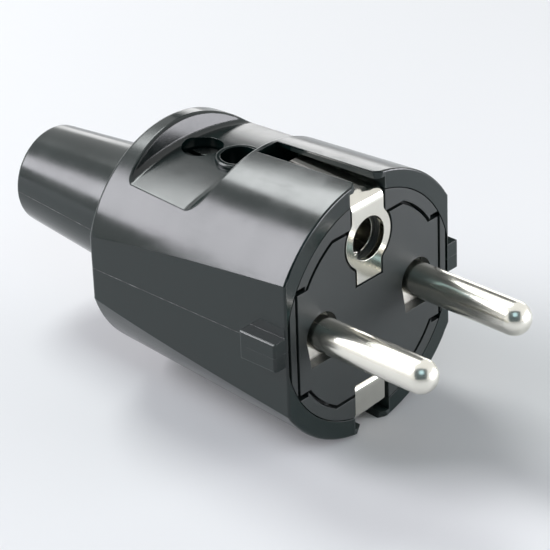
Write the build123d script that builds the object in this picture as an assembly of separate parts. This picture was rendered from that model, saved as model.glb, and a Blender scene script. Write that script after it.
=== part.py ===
"""Rewireable two-pin earthed mains plug, in millimetres.

+X is the way the pins point, +Z is the side of the earth hole, and the origin
is on the engagement face midway between the two pins.
"""
from build123d import *
import os

# Pins
pin_radius = 2.4
pin_pitch = 19.0
pin_length = 19.3
pin_shank_radius = 1.8
pin_shank_length = 5.8

# Body of the housing
body_length = 36.5
body_front_radius = 19.1
body_rear_radius = 17.0
body_half_width = 16.34
front_edge_round = 0.3
rear_edge_round = 0.7
seat_radius = 16.45
seat_half_width = 16.05
seat_depth = 5.4
seat_ledge = 1.55
cavity_radius = seat_radius - seat_ledge
cavity_half_width = 14.2
rear_wall = 3.0

# Cord sleeve
sleeve_end = -61.0
sleeve_base_radius = 9.5
sleeve_tip_radius = 7.25
sleeve_edge_round = 0.6
entry_radius = 5.2
entry_length = 12.0
sleeve_inner_base = 7.3
entry_chamfer = 0.4

# Side ribs
rib_front = -0.2
rib_rear = -6.4
rib_half_height = 2.1
rib_face = 18.5
rib_round = 0.3

# Earth clip slots in the housing
slot_rear = -17.7
slot_half_width = 2.0
slot_lip = 1.2
groove_half_width = 3.45
groove_fall = 0.7
groove_front_height = body_front_radius - slot_lip
groove_rear_height = groove_front_height - groove_fall
flare_half_width = 3.4
flare_depth = 0.85

# Finger recess with its two screw holes
recess_front = -18.7
recess_rim = 2.6
recess_rear_top = recess_rim - body_length
recess_wall_lean = 0.9
recess_rear_floor = recess_rear_top + recess_wall_lean
recess_floor_radius = 44.0
recess_depth = 4.65
recess_floor_fall = 0.45
recess_floor_front = body_front_radius - recess_depth
recess_floor_rear = recess_floor_front - recess_floor_fall
recess_foot_round = 0.9
recess_front_round = 2.8
recess_rim_round = 0.5
recess_wall = 1.9
recess_front_wall = 1.5
pad_half_width = 4.6
pad_depth = 4.4
pad_bottom = recess_floor_rear - pad_depth
clamp_screw_inset = 3.9
clamp_screw_x = recess_rear_top + clamp_screw_inset
clamp_hole_radius = 2.95
clamp_hole_ledge = 1.4
clamp_hole_floor = pad_bottom + clamp_hole_ledge
clamp_hole_through = 2.3
screw_spacing = 7.0
housing_screw_x = clamp_screw_x + screw_spacing
housing_hole_radius = 2.65
housing_hole_ledge = 0.9
housing_hole_floor = pad_bottom + housing_hole_ledge
housing_hole_through = 1.7
collar_radius = 3.4
collar_height = 0.5
collar_round = 0.3

# Outside of the contact carrier
carrier_gap = 0.15
carrier_flat_gap = 0.5
carrier_radius = seat_radius - carrier_gap
carrier_half_width = seat_half_width - carrier_flat_gap

# Face plate
plate_thickness = 1.6
plate_arc_margin = 2.15
plate_flat_margin = 1.55
plate_arc_rise = 1.85
plate_arc_radius = carrier_radius - plate_arc_margin
plate_half_height = plate_arc_radius - plate_arc_rise
plate_step_y = plate_arc_radius - plate_arc_margin
plate_step_z = 7.5
plate_half_width = carrier_half_width - plate_flat_margin
plate_gap = 0.5
plate_step_gap = 0.85
pin_hole_radius = 3.0
window_top = -0.3
window_bottom = -4.45
window_top_half = 2.95
window_bottom_half = 2.2
plate_notch_half = 3.3
plate_notch_top = -11.0
leg_inner = 4.7
leg_outer = 5.7
leg_bottom = -9.0
leg_top = -6.0
hook_reach = 0.5
hook_length = 1.1

# Height of the earth clips' outer faces
sheet = 0.8
clip_clearance = 1.0
clip_height = groove_front_height - clip_clearance

# Inner part of the contact carrier
seat_gap = 0.05
disc_gap = 0.7
disc_flat_gap = 0.3
disc_radius = cavity_radius - disc_gap
disc_half_width = cavity_half_width - disc_flat_gap
disc_rear = -9.0
tower_half_width = 4.2
tower_rear = -13.0
tower_top_gap = 1.5
tower_top = clip_height - 2 * sheet - tower_top_gap
tower_bottom = -10.7
tongue_half_width = 8.6
tongue_top_gap = 0.2
tongue_thickness = 5.0
tongue_rear_gap = 0.5
tongue_top = pad_bottom - tongue_top_gap
tongue_bottom = tongue_top - tongue_thickness
tongue_rear = rear_wall + tongue_rear_gap - body_length
tongue_wide_from = -16.0
tongue_neck_half = 6.0
tongue_window_rear = -19.0
tongue_window_half = 3.5
frame_length = 6.0
frame_front = tongue_rear + frame_length
cheek_inner = 7.0
cheek_outer = 9.0
saddle_top = -6.2
saddle_bottom = -8.2
saddle_ridge = 0.8
saddle_ridge_inset = 1.5
slide_gap = 0.15

# Terminals
terminal_gap = 0.1
terminal_flange = 1.2
terminal_flange_half = 3.4
terminal_flange_bottom = -5.2
terminal_flange_top = 3.6
terminal_half = 3.0
terminal_bottom = -4.2
terminal_top = 3.2
terminal_rear = -14.0
terminal_screw_x = -11.6
wire_hole_radius = 1.5
wire_hole_depth = 4.6
wire_hole_z = -1.2

# Earth plate and bracket
bend_radius = 0.9
earth_bend = 1.6
earth_z = 10.15
earth_hole_radius = 3.13
earth_ring_radius = 4.4
earth_neck_half = 3.1
earth_tab_half = 2.4
earth_tab_bottom = 4.1
earth_corner_round = 1.0
earth_nub_radius = 0.38
earth_nub_angle = 212.0
earth_gap = 0.35
clip_rear = -14.0
bracket_half = 3.0
bracket_front = -0.3
bracket_shelf = -11.3
bracket_tab_front = -9.5

# Earth socket behind the earth hole
socket_outer = 3.0
socket_inner = 2.55
socket_rear = -12.2
socket_bottom = 1.0
socket_slit = 0.6
socket_slit_length = 7.0
spigot_radius = 1.5
spigot_length = 4.6
earth_screw_z = -4.0

# Screws and nuts: shank radius, head radius, head height
small_screw = 1.5
small_head = 2.4
small_head_height = 1.4
large_screw = 1.75
clamp_head = 2.7
clamp_head_height = 1.4
earth_shank = 1.75
earth_head = 2.8
earth_head_height = 2.0
slot_width = 0.8
slot_depth = 0.7
small_nut_flats = 5.5
small_nut_height = 2.4
square_nut_side = 6.0
square_nut_height = 2.8
small_nut_cover = 1.8
square_nut_cover = 1.2
nut_top_small = tongue_top - small_nut_cover
nut_top_large = tongue_top - square_nut_cover
fit_gap = 0.02
nut_pocket_gap = 0.1
washer_half = 3.5
washer_thickness = 0.9
washer_corner = 0.6
housing_screw_reach = 1.0
housing_screw_tip = nut_top_small - small_nut_height - housing_screw_reach

# Cord clamp bar
clamp_bar_drop = 1.05
clamp_bar_height = 2.45
clamp_bar_top = tongue_bottom - clamp_bar_drop
clamp_bar_bottom = clamp_bar_top - clamp_bar_height
clamp_bar_half_length = 2.6
clamp_bar_half_width = 6.6
clamp_bar_arch = 9.0
clamp_bar_hollow = 1.0
clamp_bar_crown = clamp_bar_bottom + clamp_bar_hollow
clamp_tip_radius = 1.2
clamp_tip_length = 1.0

# Lengths that only help to cut, join and pick
far = 60.0
overlap = 1.0
pick = 0.01

terminal_front = -plate_thickness - terminal_gap
body_taper = (body_front_radius - body_rear_radius) / body_length
carrier_rear = -seat_depth + seat_gap


def block(x, y, z):
    """Box between the two limits given for each axis."""
    size = [abs(b - a) for a, b in (x, y, z)]
    middle = [(a + b) / 2 for a, b in (x, y, z)]
    return Pos(*middle) * Box(*size)


def rod_x(radius, start, end, y=0.0, z=0.0):
    """Round bar along X."""
    middle = (start + end) / 2
    return Pos(middle, y, z) * Rot(0, 90, 0) * Cylinder(radius, abs(end - start))


def rod_z(radius, start, end, x=0.0, y=0.0):
    """Round bar along Z."""
    middle = (start + end) / 2
    return Pos(x, y, middle) * Cylinder(radius, abs(end - start))


def hex_z(flats, start, end, x=0.0, y=0.0):
    """Hexagonal bar along Z, its flats facing +X and -X."""
    outline = RegularPolygon(flats / 2, 6, major_radius=False, rotation=30)
    return extrude(Plane((x, y, min(start, end))) * outline, abs(end - start))


def across(outline, start, end):
    """Sketch drawn in (Y, Z) and extruded along X."""
    plane = Plane((min(start, end), 0, 0), x_dir=(0, 1, 0), z_dir=(1, 0, 0))
    return extrude(plane * outline, abs(end - start))


def sideways(outline, half_width):
    """Sketch drawn in (X, Z) and extruded along Y to both sides."""
    plane = Plane((0, 0, 0), x_dir=(1, 0, 0), z_dir=(0, -1, 0))
    return extrude(plane * outline, half_width, both=True)


def turned(points):
    """Solid of revolution about X from (X, radius) points."""
    return revolve(make_face(Polyline(*points, close=True)), Axis.X)


def both_sides(part):
    """The part and its mirror image in Y."""
    return part + mirror(part, Plane.XZ)


def flattened(radius, half_width):
    """Circle cut by two flats at plus and minus half_width."""
    return Circle(radius) & Rectangle(2 * half_width, 2 * radius)


def bent_strip(points, half_width, radius):
    """Sheet-metal strip along a path in (X, Z), its bends of one radius."""
    path = FilletPolyline(*points, radius=radius)
    return sideways(trace(path, sheet), half_width)


def body_radius(x):
    """Radius of the tapered body at x."""
    return body_front_radius + body_taper * x


def outline_face(half_height, arc_radius, step_y, step_z, half_width):
    """Stepped outline shared by the face plate and its pocket."""
    arc_y = (arc_radius**2 - half_height**2) ** 0.5
    arc_z = (arc_radius**2 - step_y**2) ** 0.5
    middle = arc_radius / 2**0.5
    upper = Line((0, half_height), (arc_y, half_height))
    arc = ThreePointArc((arc_y, half_height), (middle, middle), (step_y, arc_z))
    steps = Polyline((step_y, arc_z), (step_y, step_z), (half_width, step_z), (half_width, 0))
    close = Polyline((half_width, 0), (0, 0), (0, half_height))
    quarter = make_face([upper, arc, *steps.edges(), *close.edges()])
    half = quarter + mirror(quarter, Plane.XZ)
    return half + mirror(half, Plane.YZ)


def window_outline():
    """Tapered window below each pin hole."""
    return make_face(
        Polyline(
            (-window_top_half, window_top),
            (window_top_half, window_top),
            (window_bottom_half, window_bottom),
            (-window_bottom_half, window_bottom),
            close=True,
        )
    )


def earth_outline(grow):
    """Outline of the earth plate's flat front, grown by a gap."""
    ring = Pos(0, earth_z) * Circle(earth_ring_radius + grow)
    neck_height = clip_height - earth_z
    neck_width = 2 * (earth_neck_half + grow)
    neck = Pos(0, earth_z + neck_height / 2) * Rectangle(neck_width, neck_height)
    tab_height = earth_z - earth_tab_bottom + grow
    tab_width = 2 * (earth_tab_half + grow)
    tab = Pos(0, earth_z - tab_height / 2) * Rectangle(tab_width, tab_height)
    outline = ring + neck + tab
    corners = [
        corner
        for corner in outline.vertices()
        if abs(corner.distance_to(Vector(0, earth_z)) - earth_ring_radius - grow) < pick
        and abs(corner.X) < earth_neck_half + grow + pick
    ]
    return fillet(corners, earth_corner_round - grow)


def slotted_head(part, centre, direction, radius):
    """Cut a driver slot across a screw head whose top is at centre."""
    length = 2 * radius + overlap
    if direction == "z":
        return part - Pos(*centre) * Box(length, slot_width, 2 * slot_depth)
    return part - Pos(*centre) * Box(2 * slot_depth, slot_width, length)


# Housing
body = turned(
    [
        (0, 0),
        (0, body_front_radius),
        (-body_length, body_rear_radius),
        (-body_length, 0),
    ]
)
body = body & block((-body_length, 0), (-body_half_width, body_half_width), (-far, far))
front_edges = body.edges().filter_by_position(Axis.X, -pick, pick)
body = fillet(front_edges, front_edge_round)
rear_edges = body.edges().filter_by_position(Axis.X, -body_length - pick, -body_length + pick)
body = fillet(rear_edges, rear_edge_round)

sleeve = turned(
    [
        (-body_length + rear_wall, 0),
        (-body_length + rear_wall, sleeve_base_radius),
        (-body_length, sleeve_base_radius),
        (sleeve_end, sleeve_tip_radius),
        (sleeve_end, 0),
    ]
)
tip_edge = sleeve.edges().filter_by_position(Axis.X, sleeve_end - pick, sleeve_end + pick)
sleeve = fillet(tip_edge, sleeve_edge_round)

rib = block(
    (rib_rear, rib_front),
    (cavity_half_width + overlap, rib_face),
    (-rib_half_height, rib_half_height),
)
rib_edges = rib.edges().filter_by_position(Axis.Y, rib_face - pick, rib_face + pick)
rib = fillet(rib_edges, rib_round)

housing = body + sleeve + both_sides(rib)

# Finger recess: an inclined, slightly domed floor under two end walls
floor_tilt_run = recess_front - recess_rear_top
floor_rise = recess_floor_front - recess_floor_rear
recess_rim_height = body_radius(recess_rear_top)
wall_slope = (recess_rear_floor - recess_rear_top) / (recess_rim_height - recess_floor_rear)
cut_height = body_front_radius + overlap
recess_walls = sideways(
    make_face(
        Polyline(
            (recess_front, 0),
            (recess_front, cut_height),
            (recess_rear_top - wall_slope * (cut_height - recess_rim_height), cut_height),
            (recess_rear_top + wall_slope * recess_rim_height, 0),
            close=True,
        )
    ),
    body_front_radius,
)


def floor_bar(radius):
    """Long bar whose top line is the crown of the recess floor."""
    start = Vector(recess_rear_top, 0, recess_floor_rear - recess_floor_radius)
    along = Vector(floor_tilt_run, 0, floor_rise).normalized()
    plane = Plane(start - along * far, x_dir=(0, 1, 0), z_dir=along)
    return extrude(plane * Circle(radius), 2 * far + floor_tilt_run)


recess = recess_walls - floor_bar(recess_floor_radius)
recess_foot = recess.faces().sort_by(Axis.X)[0].edges().sort_by(Axis.Z)[0]
recess = fillet(recess_foot, recess_foot_round)
recess_front_foot = recess.faces().sort_by(Axis.X)[-1].edges().sort_by(Axis.Z)[0]
recess = fillet(recess_front_foot, recess_front_round)
housing = housing - recess
rim_point = (recess_rear_top, 0, recess_rim_height)
rim_edge = housing.edges().sort_by_distance(rim_point)[0]
housing = fillet(rim_edge, recess_rim_round)

collar_top = recess_floor_front + collar_height
collar = rod_z(collar_radius, recess_floor_rear - overlap, collar_top, housing_screw_x)
collar_edge = collar.edges().sort_by(Axis.Z)[-1]
collar = fillet(collar_edge, collar_round)
housing = housing + collar

# Inside of the housing
seat = across(flattened(seat_radius, seat_half_width), -seat_depth, 0)
cavity = across(flattened(cavity_radius, cavity_half_width), -body_length + rear_wall, -seat_depth)
under_recess = block(
    (-body_length, recess_front + recess_front_wall),
    (-far, far),
    (0, body_front_radius),
)
under_recess = under_recess - floor_bar(recess_floor_radius - recess_wall)
pad = block(
    (-body_length, recess_front + recess_front_wall),
    (-pad_half_width, pad_half_width),
    (pad_bottom, body_front_radius),
)
cavity = cavity - under_recess - pad
tower_room = block(
    (tower_rear - slide_gap, -seat_depth),
    (-tower_half_width - slide_gap, tower_half_width + slide_gap),
    (0, tower_top + slide_gap),
)
sleeve_bore = turned(
    [
        (-body_length + rear_wall, 0),
        (-body_length + rear_wall, sleeve_inner_base),
        (-body_length, sleeve_inner_base),
        (sleeve_end + entry_length, entry_radius),
        (sleeve_end + entry_chamfer, entry_radius),
        (sleeve_end, entry_radius + entry_chamfer),
        (sleeve_end, 0),
    ]
)
housing = housing - seat - cavity - tower_room - sleeve_bore

# Earth clip slots: a groove, a narrower slot through the wall, and flared lips
groove = sideways(
    make_face(
        Polyline(
            (0, earth_z),
            (0, groove_front_height),
            (slot_rear, groove_rear_height),
            (slot_rear, earth_z),
            close=True,
        )
    ),
    groove_half_width,
)
slot = block((slot_rear, 0), (-slot_half_width, slot_half_width), (earth_z, far))
flare_low = Vector(0, slot_half_width, seat_radius)
flare_wide = Vector(0, flare_half_width, body_front_radius)
flare_deep = Vector(-flare_depth, slot_half_width, body_front_radius)
flare_normal = (flare_wide - flare_low).cross(flare_deep - flare_low)
flare_plane = Plane(flare_low, x_dir=flare_wide - flare_low, z_dir=flare_normal)
flare = block(
    (-2 * flare_depth, 0),
    (slot_half_width, 2 * flare_half_width),
    (seat_radius, cut_height),
)
flare_sides = [split(flare, flare_plane, keep) for keep in (Keep.TOP, Keep.BOTTOM)]
flare = min(flare_sides, key=lambda side: side.volume)
slots = groove + slot + both_sides(flare)
housing = housing - slots - mirror(slots, Plane.XY)

# Screw holes in the recess
housing = housing - rod_z(housing_hole_radius, housing_hole_floor, far, housing_screw_x)
housing = housing - rod_z(housing_hole_through, pad_bottom - overlap, far, housing_screw_x)
housing = housing - rod_z(clamp_hole_radius, clamp_hole_floor, far, clamp_screw_x)
housing = housing - rod_z(clamp_hole_through, pad_bottom - overlap, far, clamp_screw_x)

# Contact carrier
carrier = across(flattened(carrier_radius, carrier_half_width), carrier_rear, 0)
carrier += across(flattened(disc_radius, disc_half_width), disc_rear, carrier_rear)
carrier += block(
    (tower_rear, disc_rear),
    (-tower_half_width, tower_half_width),
    (tower_bottom, tower_top),
)
carrier += block(
    (tongue_wide_from, disc_rear),
    (-tongue_neck_half, tongue_neck_half),
    (tongue_bottom, tongue_top),
)
carrier += block(
    (tongue_rear, tongue_wide_from),
    (-tongue_half_width, tongue_half_width),
    (tongue_bottom, tongue_top),
)
carrier += both_sides(
    block((tongue_rear, frame_front), (cheek_inner, cheek_outer), (saddle_bottom, tongue_top))
)
carrier += block(
    (tongue_rear, frame_front),
    (-cheek_outer, cheek_outer),
    (saddle_bottom, saddle_top),
)
for ridge_x in (frame_front - saddle_ridge_inset, tongue_rear + saddle_ridge_inset):
    ridge = rod_z(saddle_ridge, -cheek_inner, cheek_inner)
    carrier += Pos(ridge_x, 0, saddle_top) * Rot(90, 0, 0) * ridge
carrier -= block(
    (tongue_window_rear, tower_rear),
    (-tongue_window_half, tongue_window_half),
    (tongue_bottom, tongue_top),
)

plate_pocket = outline_face(
    plate_half_height + plate_gap,
    plate_arc_radius + plate_gap,
    plate_step_y + plate_gap,
    plate_step_z + plate_step_gap,
    plate_half_width + plate_gap,
)
carrier -= across(plate_pocket, -plate_thickness - seat_gap, 0)
carrier -= block(
    (-sheet - slide_gap, 0),
    (-groove_half_width, groove_half_width),
    (earth_z, carrier_radius),
)
carrier -= block(
    (carrier_rear, 0),
    (-groove_half_width, groove_half_width),
    (clip_height - sheet - earth_bend / 2, carrier_radius),
)
carrier -= block(
    (disc_rear, 0),
    (-groove_half_width, groove_half_width),
    (-carrier_radius, bracket_shelf + slide_gap),
)
carrier -= rod_x(socket_outer + seat_gap, socket_rear - seat_gap, 0, z=earth_z)
carrier -= rod_x(spigot_radius + seat_gap, tower_rear, 0, z=earth_z)
carrier -= rod_x(earth_shank + slide_gap, tower_rear, disc_rear, z=earth_screw_z)
terminal_room = block(
    (terminal_front - terminal_flange - seat_gap, 0),
    (
        pin_pitch / 2 - terminal_flange_half - slide_gap,
        pin_pitch / 2 + terminal_flange_half + slide_gap,
    ),
    (terminal_flange_bottom - slide_gap, terminal_flange_top + slide_gap),
)
terminal_room += block(
    (disc_rear, 0),
    (
        pin_pitch / 2 - terminal_half - slide_gap,
        pin_pitch / 2 + terminal_half + slide_gap,
    ),
    (terminal_bottom - slide_gap, terminal_top + slide_gap),
)
leg_room = block(
    (disc_rear, 0),
    (leg_inner - slide_gap, leg_outer + hook_reach + slide_gap),
    (leg_bottom - slide_gap, leg_top + slide_gap),
)
carrier -= both_sides(terminal_room + leg_room)
carrier -= rod_z(small_screw + slide_gap, tongue_bottom, tongue_top, housing_screw_x)
carrier -= rod_z(large_screw + slide_gap, tongue_bottom, tongue_top, clamp_screw_x)
carrier -= hex_z(
    small_nut_flats + 2 * nut_pocket_gap,
    tongue_bottom,
    nut_top_small + seat_gap,
    housing_screw_x,
)
nut_slot_half = square_nut_side / 2 + nut_pocket_gap
carrier -= block(
    (tongue_rear, clamp_screw_x + nut_slot_half),
    (-nut_slot_half, nut_slot_half),
    (nut_top_large - square_nut_height - seat_gap, nut_top_large + seat_gap),
)

# Face plate with its two snap legs
face_outline = outline_face(
    plate_half_height, plate_arc_radius, plate_step_y, plate_step_z, plate_half_width
)
face_plate = across(face_outline, -plate_thickness, 0)
pin_window = Circle(pin_hole_radius) + window_outline()
for side in (-1, 1):
    face_plate -= across(Pos(side * pin_pitch / 2, 0) * pin_window, -plate_thickness, 0)
face_plate -= across(earth_outline(earth_gap), -sheet - slide_gap, 0)
face_plate -= rod_x(earth_hole_radius, -plate_thickness, 0, z=earth_z)
face_plate -= block(
    (-plate_thickness, 0),
    (-plate_notch_half, plate_notch_half),
    (-carrier_radius, plate_notch_top),
)
leg_end = disc_rear - seat_gap - hook_length
leg = block((leg_end, -plate_thickness), (leg_inner, leg_outer), (leg_bottom, leg_top))
hook = block(
    (leg_end, disc_rear - seat_gap),
    (leg_inner, leg_outer + hook_reach),
    (leg_bottom, leg_top),
)
hook_nose = hook.edges().filter_by(Axis.Z).sort_by(Axis.X)[:2].sort_by(Axis.Y)[-1]
hook = chamfer(hook_nose, hook_length - 2 * slide_gap, hook_reach - seat_gap)
face_plate += both_sides(leg + hook)

# Pins
pin = rod_x(pin_radius, terminal_front, pin_length - pin_radius)
pin += Pos(pin_length - pin_radius, 0, 0) * Sphere(pin_radius)
pin += rod_x(pin_shank_radius, terminal_front - pin_shank_length, terminal_front)

# Terminals and their screws, drawn round Y = 0 and moved behind each pin
terminal = block(
    (terminal_front - terminal_flange, terminal_front),
    (-terminal_flange_half, terminal_flange_half),
    (terminal_flange_bottom, terminal_flange_top),
)
terminal += block(
    (terminal_rear, terminal_front),
    (-terminal_half, terminal_half),
    (terminal_bottom, terminal_top),
)
terminal -= rod_x(
    pin_shank_radius + fit_gap,
    terminal_front - pin_shank_length - slide_gap,
    terminal_front,
)
terminal -= rod_x(
    wire_hole_radius, terminal_rear, terminal_rear + wire_hole_depth, z=wire_hole_z
)
terminal -= rod_z(small_screw + fit_gap, wire_hole_z, terminal_top, terminal_screw_x)

terminal_screw_tip = wire_hole_z + wire_hole_radius - slide_gap
terminal_head_base = terminal_top + 2 * slide_gap
terminal_head_top = terminal_head_base + small_head_height
terminal_screw = rod_z(small_screw, terminal_screw_tip, terminal_head_base, terminal_screw_x)
terminal_screw += rod_z(small_head, terminal_head_base, terminal_head_top, terminal_screw_x)
terminal_screw = slotted_head(
    terminal_screw, (terminal_screw_x, 0, terminal_head_top), "z", small_head
)

# Earth plate: flat front with the earth hole, bent back into the upper clip
flat_height = clip_height - sheet - earth_bend
earth_front = earth_outline(0.0) & (
    Pos(0, flat_height / 2) * Rectangle(2 * body_half_width, flat_height)
)
earth_front -= Pos(0, earth_z) * Circle(earth_hole_radius)
nub = Pos(0, earth_z) * Rot(0, 0, earth_nub_angle) * Pos(earth_hole_radius, 0)
earth_front += nub * Circle(earth_nub_radius)
earth_plate = across(earth_front, -sheet, 0)
earth_plate += bent_strip(
    [
        (-sheet / 2, flat_height - sheet),
        (-sheet / 2, clip_height - sheet / 2),
        (clip_rear, clip_height - sheet / 2),
    ],
    earth_neck_half,
    earth_bend,
)

# Earth socket: split tube with a threaded spigot
socket = rod_x(socket_outer, socket_rear, terminal_front, z=earth_z)
socket -= rod_x(socket_inner, socket_rear + socket_bottom, terminal_front, z=earth_z)
socket -= block(
    (terminal_front - socket_slit_length, terminal_front),
    (-socket_slit / 2, socket_slit / 2),
    (earth_z - 2 * socket_outer, earth_z + 2 * socket_outer),
)
socket += rod_x(spigot_radius, socket_rear - spigot_length, socket_rear, z=earth_z)

# Earth bracket: joins the upper clip, the socket, the earth screw and the lower clip
bracket_x = tower_rear - sheet / 2
bracket = bent_strip(
    [
        (bracket_tab_front, clip_height - 3 * sheet / 2),
        (bracket_x, clip_height - 3 * sheet / 2),
        (bracket_x, bracket_shelf - sheet / 2),
        (bracket_front - sheet / 2, bracket_shelf - sheet / 2),
        (bracket_front - sheet / 2, sheet / 2 - clip_height),
        (clip_rear, sheet / 2 - clip_height),
    ],
    bracket_half,
    bend_radius,
)
bracket -= rod_x(spigot_radius + seat_gap, tower_rear - 2 * sheet, tower_rear, z=earth_z)
bracket -= rod_x(earth_shank + fit_gap, tower_rear - 2 * sheet, tower_rear, z=earth_screw_z)

# Nut on the spigot, earth screw and its clamping washer
socket_nut = hex_z(small_nut_flats, 0, small_nut_height)
socket_nut -= rod_z(spigot_radius + fit_gap, 0, small_nut_height)
nut_face = tower_rear - sheet - seat_gap
socket_nut = Pos(nut_face, 0, earth_z) * Rot(0, -90, 0) * socket_nut

washer_face = tower_rear - sheet - seat_gap
washer = block(
    (washer_face - washer_thickness, washer_face),
    (-washer_half, washer_half),
    (earth_screw_z - washer_half, earth_screw_z + washer_half),
)
washer_edges = washer.edges().filter_by(Axis.X)
washer = fillet(washer_edges, washer_corner)
washer -= rod_x(
    earth_shank + slide_gap, washer_face - washer_thickness, washer_face, z=earth_screw_z
)
earth_head_base = washer_face - washer_thickness - seat_gap
earth_head_top = earth_head_base - earth_head_height
earth_screw = rod_x(earth_shank, earth_head_base, disc_rear - slide_gap, z=earth_screw_z)
earth_screw += rod_x(earth_head, earth_head_top, earth_head_base, z=earth_screw_z)
earth_screw = slotted_head(earth_screw, (earth_head_top, 0, earth_screw_z), "x", earth_head)

# Housing screw and nut
housing_head_top = housing_hole_floor + small_head_height
housing_screw = rod_z(small_screw, housing_screw_tip, housing_hole_floor, housing_screw_x)
housing_screw += rod_z(small_head, housing_hole_floor, housing_head_top, housing_screw_x)
housing_screw = slotted_head(
    housing_screw, (housing_screw_x, 0, housing_head_top), "z", small_head
)
housing_nut = hex_z(
    small_nut_flats, nut_top_small - small_nut_height, nut_top_small, housing_screw_x
)
housing_nut -= rod_z(
    small_screw + fit_gap, nut_top_small - small_nut_height, nut_top_small, housing_screw_x
)

# Clamp screw, its nut and the bar it presses on the cord
clamp_head_base = clamp_hole_floor + slide_gap
clamp_head_top = clamp_head_base + clamp_head_height
clamp_shoulder = clamp_bar_top + seat_gap
clamp_screw = rod_z(large_screw, clamp_shoulder, clamp_head_base, clamp_screw_x)
clamp_screw += rod_z(
    clamp_tip_radius, clamp_shoulder - clamp_tip_length, clamp_shoulder, clamp_screw_x
)
clamp_screw += rod_z(clamp_head, clamp_head_base, clamp_head_top, clamp_screw_x)
clamp_screw = slotted_head(clamp_screw, (clamp_screw_x, 0, clamp_head_top), "z", clamp_head)
clamp_nut_bottom = nut_top_large - square_nut_height
nut_half = square_nut_side / 2
clamp_nut = block(
    (clamp_screw_x - nut_half, clamp_screw_x + nut_half),
    (-nut_half, nut_half),
    (clamp_nut_bottom, nut_top_large),
)
clamp_nut -= rod_z(large_screw + fit_gap, clamp_nut_bottom, nut_top_large, clamp_screw_x)
cord_clamp = block(
    (clamp_screw_x - clamp_bar_half_length, clamp_screw_x + clamp_bar_half_length),
    (-clamp_bar_half_width, clamp_bar_half_width),
    (clamp_bar_bottom, clamp_bar_top),
)
cord_clamp -= rod_x(
    clamp_bar_arch,
    clamp_screw_x - 2 * clamp_bar_half_length,
    clamp_screw_x + 2 * clamp_bar_half_length,
    z=clamp_bar_crown - clamp_bar_arch,
)
cord_clamp -= rod_z(
    clamp_tip_radius + seat_gap,
    clamp_bar_top - clamp_tip_length - seat_gap,
    clamp_bar_top,
    clamp_screw_x,
)

left = Pos(0, -pin_pitch / 2, 0)
right = Pos(0, pin_pitch / 2, 0)
nodes = {
    "housing": housing,
    "contact_carrier": carrier,
    "face_plate": face_plate,
    "pin_left": left * pin,
    "pin_right": right * pin,
    "terminal_left": left * terminal,
    "terminal_right": right * terminal,
    "terminal_screw_left": left * terminal_screw,
    "terminal_screw_right": right * terminal_screw,
    "earth_plate": earth_plate,
    "earth_socket": socket,
    "earth_bracket": bracket,
    "socket_nut": socket_nut,
    "earth_washer": washer,
    "earth_screw": earth_screw,
    "housing_screw": housing_screw,
    "housing_nut": housing_nut,
    "clamp_screw": clamp_screw,
    "clamp_nut": clamp_nut,
    "cord_clamp": cord_clamp,
}
os.makedirs("parts", exist_ok=True)
for name, part in nodes.items():
    export_step(part, f"parts/{name}.step")
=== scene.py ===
"""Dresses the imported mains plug: finishes, threads, mould flash, floor, lamps and camera."""

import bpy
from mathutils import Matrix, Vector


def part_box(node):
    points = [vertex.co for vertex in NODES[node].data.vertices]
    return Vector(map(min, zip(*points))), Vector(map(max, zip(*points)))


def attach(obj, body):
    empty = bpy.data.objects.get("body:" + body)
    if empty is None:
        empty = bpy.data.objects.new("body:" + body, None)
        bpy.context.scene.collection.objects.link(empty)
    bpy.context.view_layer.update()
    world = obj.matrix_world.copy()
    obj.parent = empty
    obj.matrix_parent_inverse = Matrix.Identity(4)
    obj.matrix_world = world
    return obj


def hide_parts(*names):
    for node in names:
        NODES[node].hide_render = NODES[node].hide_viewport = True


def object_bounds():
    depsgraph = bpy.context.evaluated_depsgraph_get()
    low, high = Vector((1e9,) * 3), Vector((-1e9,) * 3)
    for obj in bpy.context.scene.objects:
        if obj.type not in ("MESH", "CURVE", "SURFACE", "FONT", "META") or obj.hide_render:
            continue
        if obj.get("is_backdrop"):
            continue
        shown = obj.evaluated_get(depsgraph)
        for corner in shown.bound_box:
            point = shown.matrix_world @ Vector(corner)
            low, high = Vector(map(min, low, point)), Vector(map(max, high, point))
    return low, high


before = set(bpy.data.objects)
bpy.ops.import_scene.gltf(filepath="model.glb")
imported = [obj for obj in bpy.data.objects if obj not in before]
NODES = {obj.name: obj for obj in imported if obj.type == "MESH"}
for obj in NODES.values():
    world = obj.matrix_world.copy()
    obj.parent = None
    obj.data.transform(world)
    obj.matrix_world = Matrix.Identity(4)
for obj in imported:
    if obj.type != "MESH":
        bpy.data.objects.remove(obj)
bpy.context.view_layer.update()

import math

import bpy
from bpy.props import FloatProperty, FloatVectorProperty, IntProperty, PointerProperty
from mathutils import Matrix, Vector
from mathutils.bvhtree import BVHTree

bl_info = {
    "name": "Mains plug dressing",
    "version": (1, 0, 0),
    "blender": (4, 5, 0),
    "location": "3D View > Sidebar > Plug",
    "description": "Gives the mains plug its finishes, threads, flash, floor, lamps and camera",
    "category": "Object",
}

MM = 0.001
BODY = "root"

# The camera, solved from the two pins' places in the photograph
CAMERA_AZIMUTH = math.radians(43.77)
CAMERA_ELEVATION = math.radians(29.27)
CAMERA_ROLL = math.radians(-2.21)
CAMERA_DISTANCE = 402.83 * MM
CAMERA_ASIDE = -12.61 * MM
CAMERA_RAISE = 4.007 * MM
CAMERA_LENS_MM = 198.5
SENSOR_MM = 36.0

# The housing's tapered body and its clip slots, whose walls are duller than the outside
BODY_RADIUS = 19.1 * MM
BODY_TAPER = 2.1 / 36.5
SLOT_HALF = 3.7 * MM
SLOT_REAR = -15.5 * MM
SLOT_DEPTH = 0.2 * MM
SLOT_SOFT = 0.1 * MM

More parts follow.
